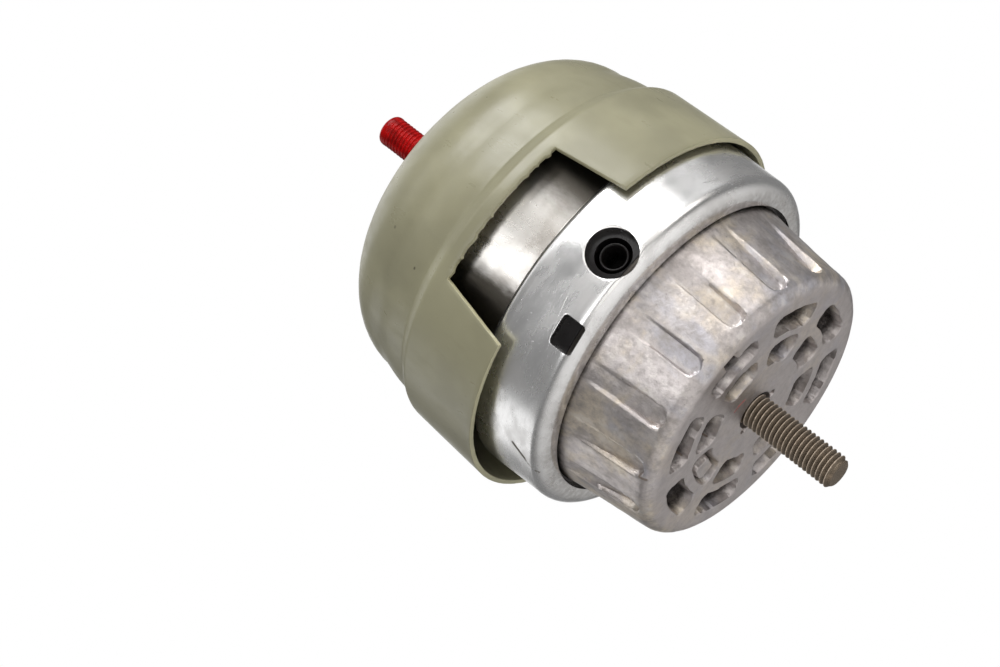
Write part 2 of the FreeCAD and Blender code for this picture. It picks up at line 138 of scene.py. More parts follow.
class Finish(Nodes):
    def __init__(self, name, colour, roughness, metallic=0.0, **fixed):
        self.material = bpy.data.materials.new(name)
        self.material.use_nodes = True
        self.material.diffuse_color = (*colour, 1)
        super().__init__(self.material.node_tree)
        self.shader = self.tree.nodes["Principled BSDF"]
        self.set("Base Color", (*colour, 1))
        self.set("Metallic", metallic)
        self.set("Roughness", roughness)
        for socket, value in fixed.items():
            self.set(socket.replace("_", " "), value)
        metres = self.node("ShaderNodeTexCoord", {}, {}, "Object")
        self.place = self.node("ShaderNodeMapping", {"vector_type": "POINT"},
                               {"Vector": metres, "Scale": (mm, mm, mm)})

    def set(self, name, value):
        self.plug(self.shader.inputs[name], value)

    def mix(self, first, second, amount):
        first, second = (c if isinstance(c, Value) else (*c, 1) for c in (first, second))
        return self.node("ShaderNodeMix", {"data_type": "RGBA"}, {0: amount, 6: first, 7: second}, 2)

    def scaled(self, vector, factors):
        return self.node("ShaderNodeVectorMath", {"operation": "MULTIPLY"}, {0: vector, 1: factors})

    def noise(self, scale, stretch=(1, 1, 1), detail=3.0, rough=0.55, place=None, twist=0.0):
        where = self.scaled(place or self.place, tuple(scale * s for s in stretch))
        return self.node("ShaderNodeTexNoise", {}, {"Vector": where, "Scale": 1.0, "Detail": detail,
                                                    "Roughness": rough, "Distortion": twist})

    def cells(self, scale):
        where = self.scaled(self.place, (scale, scale, scale))
        return self.node("ShaderNodeTexVoronoi", {"feature": "F1"}, {"Vector": where, "Scale": 1.0})

    def split(self):
        parts = self.node("ShaderNodeSeparateXYZ", {}, {0: self.place}).socket.node.outputs
        return [Value(self, part) for part in parts]

    def fromAxis(self):
        x, y, _ = self.split()
        return (x * x + y * y) ** 0.5

    def unrolled(self, radius):
        x, y, height = self.split()
        arc = x.maths("ARCTAN2", y * -1) * radius
        away = self.fromAxis()
        return arc, height, away, self.node("ShaderNodeCombineXYZ", {}, {0: arc, 1: height, 2: away})

    def bump(self, height, distance, strength=1.0):
        inputs = {"Height": height, "Distance": distance / mm, "Strength": strength}
        if self.shader.inputs["Normal"].is_linked:
            inputs["Normal"] = Value(self, self.shader.inputs["Normal"].links[0].from_socket)
        self.set("Normal", self.node("ShaderNodeBump", {}, inputs))

    def stroke(self, along, up, start, end, width):
        run, rise = end[0] - start[0], end[1] - start[1]
        length = run * run + rise * rise
        part = (((along - start[0]) * run + (up - start[1]) * rise) / length).clamp()
        aside, above = along - start[0] - part * run, up - start[1] - part * rise
        return 1 - self.band((aside * aside + above * above) ** 0.5, width * 0.35, width)

    def strokes(self, arc, height, radius, marks):
        total = 0
        for start, end, width in marks:
            ends = [(arcLength(azimuth, radius), level) for azimuth, level in (start, end)]
            total = self.stroke(arc, height, *ends, width) + total
        return total


# A speck is (azimuth, height, width), any other mark (start, end, width). A mark's ends are
# (azimuth, height) on a round wall and (x, y) on the casting's face.
marks = {
    "shieldSpecks": ((-24.8, 96.8, 0.55), (-30.1, 84.4, 0.45)),
    "collarGouge": (((-61.1, 39.1), (-64.2, 35.0), 0.75), ((-64.2, 35.0), (-69.1, 30.8), 0.55)),
    "collarNicks": (((-36.5, 36.9), (-33.5, 36.4), 0.5), ((44.7, 37.6), (49.6, 36.4), 0.6),
                    ((21.5, 47.5), (19.0, 45.8), 0.2), ((-8.0, 41.2), (-22.0, 38.9), 0.2),
                    ((-33.0, 44.8), (-29.5, 43.4), 0.3)),
    "flankNick": (((-50.9, 2.2), (-50.9, 4.2), 0.7),),
    "facePaint": (((-4.3, -11.8), (-2.0, -12.0), 0.35), ((-2.2, -12.2), (0.1, -11.4), 0.55)),
}


def makeShieldPlastic(name, colour, radius):
    finish = Finish(name, colour, roughness=0.42)
    clouds = finish.noise(0.035, detail=3.0)
    grain = finish.noise(1.6, detail=4.0)
    smear = finish.noise(0.22, (1, 1, 0.35), detail=5.0, rough=0.65)
    specks = 1 - finish.band(finish.cells(0.16), 0.035, 0.09)
    specks = specks * finish.band(finish.noise(0.06), 0.56, 0.62)
    tone = finish.mix(shade(colour, 0.86), shade(colour, 1.08), finish.band(clouds, 0.35, 0.65))
    tone = finish.mix(tone, shade(colour, 0.80), finish.band(smear, 0.56, 0.8) * 0.35)
    arc, height, *_ = finish.unrolled(radius)
    for azimuth, level, width in marks["shieldSpecks"]:
        at = arcLength(azimuth, radius)
        specks = finish.stroke(arc, height, (at, level), (at + 0.2, level), width) * 1.5 + specks * 0.6
    finish.set("Base Color", finish.mix(tone, (0.10, 0.09, 0.06), (specks * 0.7).clamp()))
    finish.set("Roughness", 0.27 + finish.band(smear, 0.3, 0.75) * 0.14)
    finish.bump(grain, 0.03, 0.5)
    finish.bump(clouds, 0.6, 0.35)
    return finish


def makeRolledAluminium(radius):
    finish = Finish("rolledAluminium", (0.83, 0.82, 0.81), metallic=1.0, roughness=0.3, Anisotropic=0.6)
    arc, height, _, sheet = finish.unrolled(radius)
    rolled = finish.noise(1.0, (0.05, 1.7, 0.2), detail=4.0, rough=0.6, place=sheet)
    patches = finish.noise(0.075, (1, 1.6, 1), detail=5.0, rough=0.6, place=sheet)
    blotch = finish.noise(0.45, detail=5.0, rough=0.7, place=sheet)
    hair = finish.noise(1.0, (0.5, 3.2, 0.5), detail=2.0, place=sheet, twist=2.5)
    scratches = finish.band(hair, 0.71, 0.76)
    gouge = finish.strokes(arc, height, radius, marks["collarGouge"])
    gouge = (gouge * finish.band(blotch, 0.36, 0.5)).clamp()
    nicks = finish.strokes(arc, height, radius, marks["collarNicks"]).clamp()
    tone = finish.mix((0.90, 0.895, 0.89), (0.72, 0.71, 0.70), finish.band(patches, 0.42, 0.66))
    tone = finish.mix(tone, (0.60, 0.56, 0.50), finish.band(blotch, 0.62, 0.8) * 0.3)
    # darker in blotches along the collar's lowest edge, at the lip where it meets the casting
    lipEdgeDarkening = (1 - finish.band(height, 29.0, 30.4)) * finish.band(blotch, 0.3, 0.6)
    tone = finish.mix(tone, (0.25, 0.22, 0.18), lipEdgeDarkening * 0.4)
    finish.set("Base Color", finish.mix(tone, (0.10, 0.085, 0.065), gouge))
    finish.set("Metallic", 1 - gouge * 0.8)
    finish.set("Roughness", 0.17 + finish.band(patches, 0.35, 0.7) * 0.12 + rolled * 0.08 + gouge * 0.3)
    finish.bump(rolled, 0.008, 0.5)
    finish.bump(blotch * finish.band(height, 32, 35), 0.003, 0.4)
    finish.bump((scratches + nicks).clamp(), 0.04, 0.8)
    return finish


def makeCastAluminium(radius):
    finish = Finish("castAluminium", (0.62, 0.58, 0.56), metallic=0.85, roughness=0.42)
    arc, height, away, skin = finish.unrolled(radius)
    stains = finish.noise(0.055, detail=4.0, rough=0.6, twist=0.4)
    cool = finish.noise(0.08, (1, 1, 0.5), detail=3.0)
    mottle = finish.noise(0.55, detail=6.0, rough=0.68)
    fine = finish.noise(2.4, detail=4.0, rough=0.6)
    drag = finish.noise(1.0, (0.55, 0.06, 0.3), detail=3.0, place=skin)
    patches = finish.noise(0.22, (1, 1, 0.6), detail=6.0, rough=0.72)
    pits = 1 - finish.band(finish.cells(0.5), 0.05, 0.16)
    pits = pits * finish.band(mottle, 0.56, 0.66)
    tone = finish.mix((0.60, 0.555, 0.545), (0.70, 0.62, 0.52), finish.band(stains, 0.46, 0.62))
    tone = finish.mix(tone, (0.50, 0.50, 0.56), finish.band(cool, 0.52, 0.66) * 0.7)
    tone = finish.mix(tone, (0.26, 0.235, 0.225), finish.band(mottle, 0.44, 0.80) * 0.6)
    tone = finish.mix(tone, (0.36, 0.33, 0.315), finish.band(patches, 0.44, 0.68) * 0.75)
    tone = finish.mix(tone, (0.86, 0.82, 0.77), finish.band(patches, 0.47, 0.36) * 0.35)
    face = 1 - finish.band(height, 0.15, 0.6)
    tone = finish.mix(tone, (0.52, 0.475, 0.465), face * 0.6)
    # painted shade: the insides of the pockets are darkened towards near-black; the same mask also roughens
    # and bumps them
    inner = finish.band(height, 0.6, 4.2) * (1 - finish.band(away, 36.0, 37.5))
    tone = finish.mix(tone, (0.05, 0.043, 0.04), inner * (0.5 + mottle * 0.8).clamp())
    tone = finish.mix(tone, (0.15, 0.13, 0.115), pits * 0.65)
    # painted shade: a near-black band round the neck, in the gap under the collar's lip
    paintedNeckGapShade = finish.band(height + (mottle - 0.5) * 1.6, 28.7, 30.4)
    tone = finish.mix(tone, (0.03, 0.026, 0.022), paintedNeckGapShade)
    nick = finish.strokes(arc, height, radius, marks["flankNick"])
    tone = finish.mix(tone, (0.14, 0.10, 0.07), nick * 0.8)
    x, y, _ = finish.split()
    first, second = (finish.stroke(x, y, *mark) for mark in marks["facePaint"])
    paint = (first + second).clamp() * finish.band(mottle, 0.34, 0.5) * (1 - finish.band(height, 0.2, 0.5))
    finish.set("Base Color", finish.mix(tone, (0.42, 0.035, 0.03), paint * 0.85))
    finish.set("Metallic", 0.85 - paint * 0.8 - nick * 0.6)
    finish.set("Roughness", 0.24 + finish.band(stains, 0.35, 0.7) * 0.10 + mottle * 0.16 + inner * 0.06)
    finish.bump(fine, 0.05, 0.5)
    finish.bump(mottle, 0.20, 0.7)
    finish.bump(mottle * inner, 0.9, 0.8)
    finish.bump(patches, 0.12, 0.6)
    finish.bump(drag, 0.10, 0.35)
    return finish


def makePhosphatedSteel(name, crest, root):
    finish = Finish(name, (0.17, 0.145, 0.12), metallic=0.8, roughness=0.45)
    wear = finish.noise(0.9, detail=5.0, rough=0.7)
    rubbed = finish.band(finish.fromAxis() + (wear - 0.5) * 0.4, crest * 0.7 + root * 0.3, crest + 0.05)
    rust = finish.band(finish.noise(0.25, detail=4.0), 0.55, 0.75)
    tone = finish.mix((0.17, 0.135, 0.10), (0.74, 0.62, 0.50), rubbed)
    finish.set("Base Color", finish.mix(tone, (0.42, 0.32, 0.23), rust * 0.5))
    finish.set("Roughness", 0.52 - rubbed * 0.16)
    finish.bump(finish.noise(3.5, detail=3.0), 0.03, 0.6)
    return finish


def makeCapPlastic():
    finish = Finish("capPlastic", (0.42, 0.003, 0.003), roughness=0.3, Specular_IOR_Level=0.12)
    flow = finish.noise(0.5, (1, 1, 0.4), detail=2.0)
    tone = finish.mix((0.40, 0.002, 0.002), (0.22, 0.001, 0.001), finish.band(flow, 0.35, 0.7))
    finish.set("Base Color", tone)
    finish.set("Roughness", 0.22 + flow * 0.12)
    finish.bump(finish.noise(0.6, detail=1.0), 0.05, 0.3)
    return finish


def makeHousingSteel(radius):
    finish = Finish("housingSteel", (0.70, 0.68, 0.655), metallic=1.0, roughness=0.2)
    arc, *_, sheet = finish.unrolled(radius)
    drawn = finish.noise(1.0, (0.30, 0.05, 0.2), detail=5.0, rough=0.65, place=sheet)
    ripple = finish.noise(0.5, (1, 0.45, 1), detail=5.0, rough=0.7, place=sheet)
    cloud = finish.noise(0.08, detail=4.0, place=sheet)
    tone = finish.mix((0.74, 0.72, 0.69), (0.52, 0.49, 0.455), finish.band(cloud, 0.4, 0.7))
    tone = finish.mix(tone, (0.30, 0.25, 0.20), finish.band(ripple, 0.62, 0.8) * 0.4)
    edge = (ripple - 0.5) * 4
    # painted shade: the can is darkened towards both ends of the shield's window, where the shield's edges
    # shade it; the same mask also raises the roughness there
    paintedWindowEndShade = finish.band(arc + edge, 3.0, 16.5) + finish.band(arc * -1 + edge, 13.5, 19.5)
    finish.set("Base Color", finish.mix(tone, (0.045, 0.038, 0.028), paintedWindowEndShade * 0.93))
    finish.set("Roughness", 0.20 + ripple * 0.16 + paintedWindowEndShade * 0.1)
    finish.bump(drawn, 0.12, 0.45)
    finish.bump(ripple, 0.03, 0.5)
    return finish


def makeMachinedAluminium():
    finish = Finish("machinedAluminium", (0.78, 0.77, 0.76), metallic=1.0, roughness=0.28)
    height = finish.split()[2]
    rings = finish.node("ShaderNodeCombineXYZ", {}, {0: finish.fromAxis(), 1: height, 2: 0.0})
    turned = finish.noise(4.0, detail=2.0, place=rings)
    smear = finish.band(finish.noise(0.12, detail=4.0), 0.4, 0.7)
    finish.set("Base Color", finish.mix((0.80, 0.79, 0.78), (0.60, 0.585, 0.57), smear))
    finish.set("Roughness", 0.22 + turned * 0.18)
    finish.bump(turned, 0.02, 0.5)
    return finish


def makeSpringSteel():
    finish = Finish("springSteel", (0.33, 0.32, 0.31), metallic=1.0, roughness=0.3)
    blued = finish.band(finish.noise(0.12, detail=4.0), 0.4, 0.7)
    finish.set("Base Color", finish.mix((0.38, 0.37, 0.36), (0.20, 0.19, 0.20), blued))
    finish.set("Roughness", 0.24 + finish.noise(0.8, detail=4.0) * 0.25)
    finish.bump(finish.noise(2.0, detail=3.0), 0.02, 0.4)
    return finish


def makeMoulded(name, colour, roughness, grain):
    finish = Finish(name, colour, roughness=roughness, Specular_IOR_Level=0.2)
    cloud = finish.noise(0.15, detail=4.0)
    finish.set("Base Color", finish.mix(shade(colour, 0.7), shade(colour, 1.5), cloud))
    finish.set("Roughness", roughness - 0.08 + finish.noise(0.6, detail=4.0) * 0.2)
    finish.bump(finish.noise(grain, detail=3.0), 0.05, 0.5)
    return finish


collarBottom, collarTop = heights("collar")
collarRadius = reach("collar")
housingTop = heights("spring_housing")[1]
shieldPlastic = makeShieldPlastic("shieldPlastic", (0.276, 0.263, 0.172), radius=53)
shieldCut = makeShieldPlastic("shieldCutEdge", (0.43, 0.41, 0.26), radius=53)
rolledAluminium = makeRolledAluminium(collarRadius)
castAluminium = makeCastAluminium(radius=43)
studSteel = makePhosphatedSteel("studSteel", crest=5.0, root=4.1)
upperStudSteel = makePhosphatedSteel("upperStudSteel", crest=4.0, root=3.3)
capPlastic = makeCapPlastic()
housingSteel = makeHousingSteel(radius=51)
machinedAluminium = makeMachinedAluminium()
springSteel = makeSpringSteel()
blackPlastic = makeMoulded("blackPlastic", (0.006, 0.005, 0.005), roughness=0.28, grain=2.0)
springRubber = makeMoulded("springRubber", (0.018, 0.018, 0.019), roughness=0.62, grain=1.2)
sealRubber = makeMoulded("sealRubber", (0.014, 0.014, 0.015), roughness=0.5, grain=2.5)
print("finishes made")

slotFinishes = {"shield_plastic": shieldPlastic, "cap_plastic": capPlastic, "stud_steel": studSteel,
                "spring_steel": springSteel, "housing_steel": housingSteel,
                "collar_aluminium": rolledAluminium, "cast_aluminium": castAluminium,
                "machined_aluminium": machinedAluminium, "black_plastic": blackPlastic,
                "spring_rubber": springRubber, "seal_rubber": sealRubber}
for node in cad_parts.values():
    for holder in node.material_slots:
        for slotName, finish in slotFinishes.items():
            if holder.material and slotName in holder.material.name:
                holder.material = finish.material
                break


# A point is (radius, height), and may add a rounding and its number of segments.
def drawProfile(bm, points, closed=False):
    corners = [bm.verts.new((0, -point[0], point[1])) for point in points]
    pairs = list(zip(corners, corners[1:])) + ([(corners[-1], corners[0])] if closed else [])
    for pair in pairs:
        bm.edges.new(pair)
    for corner, (_, _, *rounding) in zip(corners, points):
        if rounding:
            offset, segments = rounding
            bmesh.ops.bevel(bm, geom=[corner], offset=offset, segments=segments, profile=0.5,
                            affect="VERTICES", material=-1)


def splitLong(bm, longest, edges=None):
    for edge in edges or list(bm.edges):
        cuts = math.ceil(edge.calc_length() / longest) - 1
        if cuts > 0:
            bmesh.ops.subdivide_edges(bm, edges=[edge], cuts=cuts)


def spinWire(bm, steps, sweep=360, rise=0.0):
    bmesh.ops.spin(bm, geom=bm.verts[:] + bm.edges[:], cent=(0, 0, 0), axis=(0, 0, 1),
                   dvec=(0, 0, rise / steps), angle=math.radians(sweep), steps=steps,
                   use_merge=sweep == 360 and not rise, use_duplicate=False)


def isUpright(edge, least=5.0):
    return abs(edge.verts[0].co.z - edge.verts[1].co.z) > least


def turnAbout(bm, degrees, axis="Z", centre=(0, 0, 0), verts=None):
    matrix = Matrix.Rotation(math.radians(degrees), 3, axis)
    bmesh.ops.rotate(bm, cent=centre, matrix=matrix, verts=verts or bm.verts)


def closeUp(bm):
    bmesh.ops.remove_doubles(bm, verts=bm.verts, dist=0.002)
    bmesh.ops.recalc_face_normals(bm, faces=bm.faces)


def closeSheet(bm):
    closeUp(bm)
    if sum(f.normal.xy.dot(f.calc_center_median().xy) for f in bm.faces) < 0:
        bmesh.ops.reverse_faces(bm, faces=bm.faces)


def joinPart(bm, part):
    mesh = bpy.data.meshes.new("part")
    part.to_mesh(mesh)
    part.free()
    bm.from_mesh(mesh)
    bpy.data.meshes.remove(mesh)


def pushOut(vert, distance):
    vert.co.xy *= 1 + distance / vert.co.xy.length


def waver(co, height, scale):
    return height * noise.noise(co * scale)


def finishPiece(name, bm, finishes, replaced, sharp):
    bmesh.ops.transform(bm, matrix=Matrix.Scale(1 / mm, 4), verts=bm.verts)
    mesh = bpy.data.meshes.new(name)
    bm.to_mesh(mesh)
    bm.free()
    for finish in finishes:
        mesh.materials.append(finish.material)
    mesh.polygons.foreach_set("use_smooth", [True] * len(mesh.polygons))
    mesh.set_sharp_from_angle(angle=math.radians(sharp))
    piece = bpy.data.objects.new(name, mesh)
    bpy.context.scene.collection.objects.link(piece)
    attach(piece, "root")
    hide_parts(*replaced)
    print(name, len(mesh.polygons), "faces")
    return piece


def addWall(piece, thickness, edge, rimMaterial=0):
    wall = piece.modifiers.new("wall", "SOLIDIFY")
    wall.thickness, wall.offset = thickness / mm, -1
    wall.material_offset_rim = rimMaterial
    wall.use_even_offset = True
    soft = piece.modifiers.new("edges", "BEVEL")
    soft.width, soft.segments, soft.limit_method = edge / mm, 2, "ANGLE"
    soft.angle_limit = math.radians(50)


# A pocket is (inner radius, outer radius, half angle), the pad (azimuth, radius, half length, half
# width, depth), the notch (azimuth, half width, inner radius, outer radius, depth), a crescent (x, y).
casting = {
    "steps": 640, "faceRow": 0.42, "flankRow": 1.0,
    "edgeRound": 4.0, "flankLow": 43.0, "neck": (46.1, 29.2), "flangeFoot": (46.6, 31.2),
    "mouth": (6.0, 7.0), "press": 5.55, "floor": 13.0,
    "cavityLow": 39.0, "cavityHigh": 40.5, "cavityLip": (3.0, 3.2),
    "fluteCount": 16, "flutePhase": -2.75, "fluteHalf": 3.2, "fluteWall": 0.55, "fluteDepth": 2.3,
    "fluteFull": 5.0, "fluteLow": 3.2, "fluteHigh": 27.5,
    "pocketCount": 8, "pocketPhase": 7.5, "pocketDepths": (7.0, 5.0), "pocketWall": 0.8, "pocketCorner": 2.4,
    "outerPocket": (28.3, 35.6, 16.3), "innerPocket": (17.2, 25.0, 16.3), "wideInner": 6, "wideHalf": 22.0,
    "pocketWobble": 0.45, "floorWobble": 0.5,
    "pad": (-83.0, 21.3, 3.2, 2.6, 0.2), "padSlope": 6.0,
    "notch": (7.5, 2.5, 35.0, 39.6, 1.5), "notchTurnRadius": 38.0,
    "crescents": ((6.3, 1.7), (-6.0, 2.6)), "crescentRadius": 1.3, "crescentDepth": 3.0,
    "inset": 0.08, "wavers": ((0.10, 0.12), (0.05, 0.5)), "skinTop": (26.5, 28.0),
}


def roundedBox(u, v, halfU, halfV, corner):
    du, dv = abs(u) - halfU + corner, abs(v) - halfV + corner
    return math.hypot(max(du, 0), max(dv, 0)) + min(max(du, dv), 0) - corner


def faceSink(co, c=casting):
    away, azimuth = co.xy.length, azimuthOf(co)
    step = 360 / c["pocketCount"]
    index = round((azimuth - c["pocketPhase"]) / step) % c["pocketCount"]
    turn = turnBetween(azimuth, c["pocketPhase"] + step * index)
    wobble = noise.noise(Vector((co.x, co.y, 7)) * 0.22)
    sink = 0.0
    for which, (inner, outer, half) in enumerate((c["outerPocket"], c["innerPocket"])):
        middle = (inner + outer) / 2
        if which and index == c["wideInner"]:
            half = c["wideHalf"]
        edge = roundedBox(arcLength(turn, middle), away - middle, arcLength(half, middle),
                          (outer - inner) / 2, c["pocketCorner"]) + c["pocketWobble"] * wobble
        share = 0.92 + 0.16 * noise.noise(Vector((index * 3.1, which * 5.3, 0.5)))
        depth = c["pocketDepths"][which] * share + c["floorWobble"] * wobble
        sink = max(sink, depth * ease(-edge, -0.15, c["pocketWall"]))
    turnPad, middle, halfLong, halfWide, down = c["pad"]
    pad = roundedBox(arcLength(turnBetween(azimuth, turnPad), middle), away - middle, halfLong, halfWide, 1.0)
    sink = min(sink, down + c["padSlope"] * ease(pad, 0.0, 0.9))
    turnNotch, halfNotch, low, high, deep = c["notch"]
    notch = roundedBox(arcLength(turnBetween(azimuth, turnNotch), c["notchTurnRadius"]),
                       away - (low + high) / 2, halfNotch, (high - low) / 2, 0.3)
    sink = max(sink, deep * ease(-notch, -0.1, 0.35))
    for x, y in c["crescents"]:
        near = math.hypot(co.x - x, co.y - y)
        sink = max(sink, c["crescentDepth"] * ease(c["crescentRadius"] - near, 0.0, 0.7))
    return sink


def fluteDepth(azimuth, away, height, c=casting):
    step = 360 / c["fluteCount"]
    across = arcLength((azimuth - c["flutePhase"] + step / 2) % step - step / 2, away)
    fading = (c["fluteHigh"] - height) / (c["fluteHigh"] - c["fluteFull"])
    half = c["fluteHalf"]
    below = c["fluteLow"] + half - height
    edge = half - (math.hypot(across, below) if below > 0 else abs(across))
    return c["fluteDepth"] * min(1.0, max(0.0, fading)) * ease(edge, 0.0, c["fluteWall"])


def makeBaseCasting(c=casting):
    low, high = heights("base_casting")
    flange = reach("base_casting")
    (neck, neckHeight), (mouth, mouthDepth), (lipOut, lipDown) = c["neck"], c["mouth"], c["cavityLip"]
    flangeFoot = c["flangeFoot"][1]
    bm = bmesh.new()
    drawProfile(bm, [(mouth, low, 0.3, 2), (c["flankLow"] - 0.02, low, c["edgeRound"], 7), c["neck"],
                     c["flangeFoot"], (flange, flangeFoot, 0.2, 1), (flange, high, 0.2, 1),
                     (c["cavityHigh"] + lipOut, high), (c["cavityHigh"], high - lipDown),
                     (c["cavityLow"], c["floor"]), (c["press"], c["floor"]), (c["press"], mouthDepth),
                     (mouth, mouthDepth)], closed=True)
    outer = [e for e in bm.edges
             if all(v.co.z < neckHeight + 0.3 and v.co.y < -mouth - 0.2 for v in e.verts)
             and not any(v.co.z > c["floor"] - 0.1 and v.co.y > -c["cavityLow"] - 0.5 for v in e.verts)]
    for edge in outer:
        splitLong(bm, c["flankRow"] if isUpright(edge) else c["faceRow"], [edge])
    spinWire(bm, c["steps"])
    closeUp(bm)
    skinFrom, skinTo = c["skinTop"]
    for vert in bm.verts:
        away, height, azimuth = vert.co.xy.length, vert.co.z, azimuthOf(vert.co)
        if height < 0.01 and away > mouth + 0.1:
            vert.co.z += faceSink(vert.co)
        flank = c["flankLow"] + (neck - c["flankLow"]) * height / neckHeight
        innermost = max(c["flankLow"] - 0.5, flank - 0.3) - c["edgeRound"]
        if height < skinTo and away > innermost:
            skin = sum(waver(vert.co, *shape) for shape in c["wavers"]) - c["inset"]
            fade = ease(height, 0.0, 1.5) * (1 - ease(height, skinFrom, skinTo))
            pushOut(vert, skin * fade - fluteDepth(azimuth, away, height))
    finishPiece("baseCasting", bm, [castAluminium], ["base_casting"], sharp=60)


makeBaseCasting()


# The hole is (azimuth, height, radius), the slot (azimuth, height, half width, half height, corner).
# The windows round them are what is cut away before the new rims are bridged in.
collar = {
    "steps": 300, "rows": 15, "wall": 2.0, "shoulder": 4.6, "chamfer": 3.0, "mouth": 51.35, "lip": 47.5,
    "outerFrom": 49.0, "skinFrom": 50.3, "waist": 0.3, "waistHeights": (34.0, 52.0),
    "inset": 0.06, "waver": (0.08, 0.04),
    "hole": (8.4, 38.7, 7.4), "holeWindow": (8.9, 8.3),
    "slot": (-17.4, 35.15, 4.7, 3.65, 1.1), "slotWindow": (5.8, 31.2, 40.1),
}


def collarOutside(height, c=collar):
    below = collarBottom + c["shoulder"] - height
    if below <= 0:
        return collarRadius
    return collarRadius - c["shoulder"] + math.sqrt(max(0, c["shoulder"] ** 2 - below ** 2))


def openHole(bm, azimuth, inWindow, outline, c=collar):
    def isInWindow(face):
        middle = face.calc_center_median()
        across = arcLength(turnBetween(azimuthOf(middle), azimuth), collarRadius)
        return middle.xy.length > c["outerFrom"] and inWindow(across, middle.z)

    gone = [f for f in bm.faces if isInWindow(f)]
    border = {e for f in gone for e in f.edges if any(other not in gone for other in e.link_faces)}
    bmesh.ops.delete(bm, geom=gone, context="FACES")
    border = [e for e in border if e.is_valid]
    rim = bmesh.ops.create_circle(bm, segments=len(border), radius=1.0)["verts"]
    for vert in rim:
        u, z = outline(math.atan2(vert.co.y, vert.co.x))
        vert.co = onRound(collarOutside(z), azimuth + math.degrees(u / collarRadius), z)
    rimEdges = list({e for v in rim for e in v.link_edges})
    ring = bmesh.ops.bridge_loops(bm, edges=border + rimEdges)["edges"]
    between = [e for e in ring if e not in rimEdges and e not in border
               and all(len(v.link_edges) > 2 for v in e.verts)]
    bmesh.ops.subdivide_edges(bm, edges=between, cuts=4, use_grid_fill=True)


def roundedBoxAt(angle, halfWide, halfHigh, corner):
    across, up = math.cos(angle), math.sin(angle)
    grow = min(halfWide / max(abs(across), 1e-6), halfHigh / max(abs(up), 1e-6))
    u, v = across * grow, up * grow
    inU = max(corner - halfWide, min(halfWide - corner, u))
    inV = max(corner - halfHigh, min(halfHigh - corner, v))
    away = math.hypot(u - inU, v - inV)
    if away > 0:
        u, v = inU + (u - inU) * corner / away, inV + (v - inV) * corner / away
    return u, v


def makeCollar(c=collar):
    bm = bmesh.new()
    drawProfile(bm, [(c["mouth"], collarTop), (collarRadius, collarTop, c["chamfer"], 4),
                     (collarRadius, collarBottom, c["shoulder"], 8), (c["lip"], collarBottom)])
    bmesh.ops.subdivide_edges(bm, edges=[e for e in bm.edges if isUpright(e)], cuts=c["rows"])
    spinWire(bm, c["steps"])
    closeSheet(bm)

    (azimuth, middle, radius), (halfWide, halfHigh) = c["hole"], c["holeWindow"]
    openHole(bm, azimuth, lambda u, z: abs(u) < halfWide and abs(z - middle) < halfHigh,
             lambda angle: (radius * math.cos(angle), middle + radius * math.sin(angle)))

    azimuth, level, *slotShape = c["slot"]
    side, low, high = c["slotWindow"]

    def slotOutline(angle):
        u, v = roundedBoxAt(angle, *slotShape)
        return u, level + v

    openHole(bm, azimuth, lambda u, z: abs(u) < side and low < z < high, slotOutline)

    for vert in bm.verts:
        away, height = vert.co.xy.length, vert.co.z
        if away > c["skinFrom"] and height < collarTop - c["chamfer"] + 0.1:
            vert.co.xy *= collarOutside(height) / away
            waist = c["waist"] * (1 - ease(height, *c["waistHeights"]))
            pushOut(vert, waver(vert.co, *c["waver"]) - c["inset"] - waist)
    bm.normal_update()
    piece = finishPiece("collar", bm, [rolledAluminium], ["collar"], sharp=30)
    addWall(piece, c["wall"], edge=0.22)


makeCollar()


housing = {"steps": 240, "row": 2.5, "flange": 52.5, "flangeTop": 51.9, "wall": 51.2, "shoulder": 7.0,
           "mouth": 36.0, "sheet": 2.0, "lean": 0.10, "leanTop": 74.0, "ripple": 0.05}


def makeSpringHousing(c=housing):
    bm = bmesh.new()
    drawProfile(bm, [(c["flange"], c["flangeTop"]), (c["wall"], c["flangeTop"]),
                     (c["wall"], housingTop, c["shoulder"], 8), (c["mouth"], housingTop)])
    splitLong(bm, c["row"])
    spinWire(bm, c["steps"])
    closeSheet(bm)
    for vert in bm.verts:
        height = vert.co.z
        if vert.co.xy.length > c["wall"] - 0.2 and c["flangeTop"] + 1 < height < housingTop - 6:
            place = Vector((azimuthOf(vert.co) * 0.25, height * 0.05, 1))
            ripple = c["ripple"] * noise.noise(place) - c["ripple"]
            pushOut(vert, ripple - c["lean"] * max(0, c["leanTop"] - height))
    piece = finishPiece("springHousing", bm, [housingSteel], ["spring_housing"], sharp=35)
    addWall(piece, c["sheet"], edge=0.2)


makeSpringHousing()


# The window's lean is in degrees per millimetre below its top, left side first.
shield = {
    "stepsWindow": 60, "stepsRest": 240, "row": 2.2, "bore": 12.4, "flat": 16.0, "top": 118.2,
    "domeRadius": 53.0, "domeDepth": 26.2, "domeStep": 5,
    "swell": (54.7, 85.5), "crease": (55.1, 80.2), "shoulder": (57.95, 76.4), "rim": (59.5, 48.8),
    "wall": 1.5, "skirtFrom": 50.0, "edgeFrom": 20.0, "sagFrom": 30.0, "inset": 0.12, "waver": (0.16, 0.035),
    "rough": 0.14, "torn": 0.5, "roughSide": 0.12, "rimLift": 0.10,
    "windowAzimuth": -0.45, "windowHalf": 23.05, "windowTop": 72.3, "windowLean": (0.20, 0.12),
    "leanReach": 9.0, "tilt": 1.5, "lowAzimuth": 59.0, "pivot": 116.0,
}


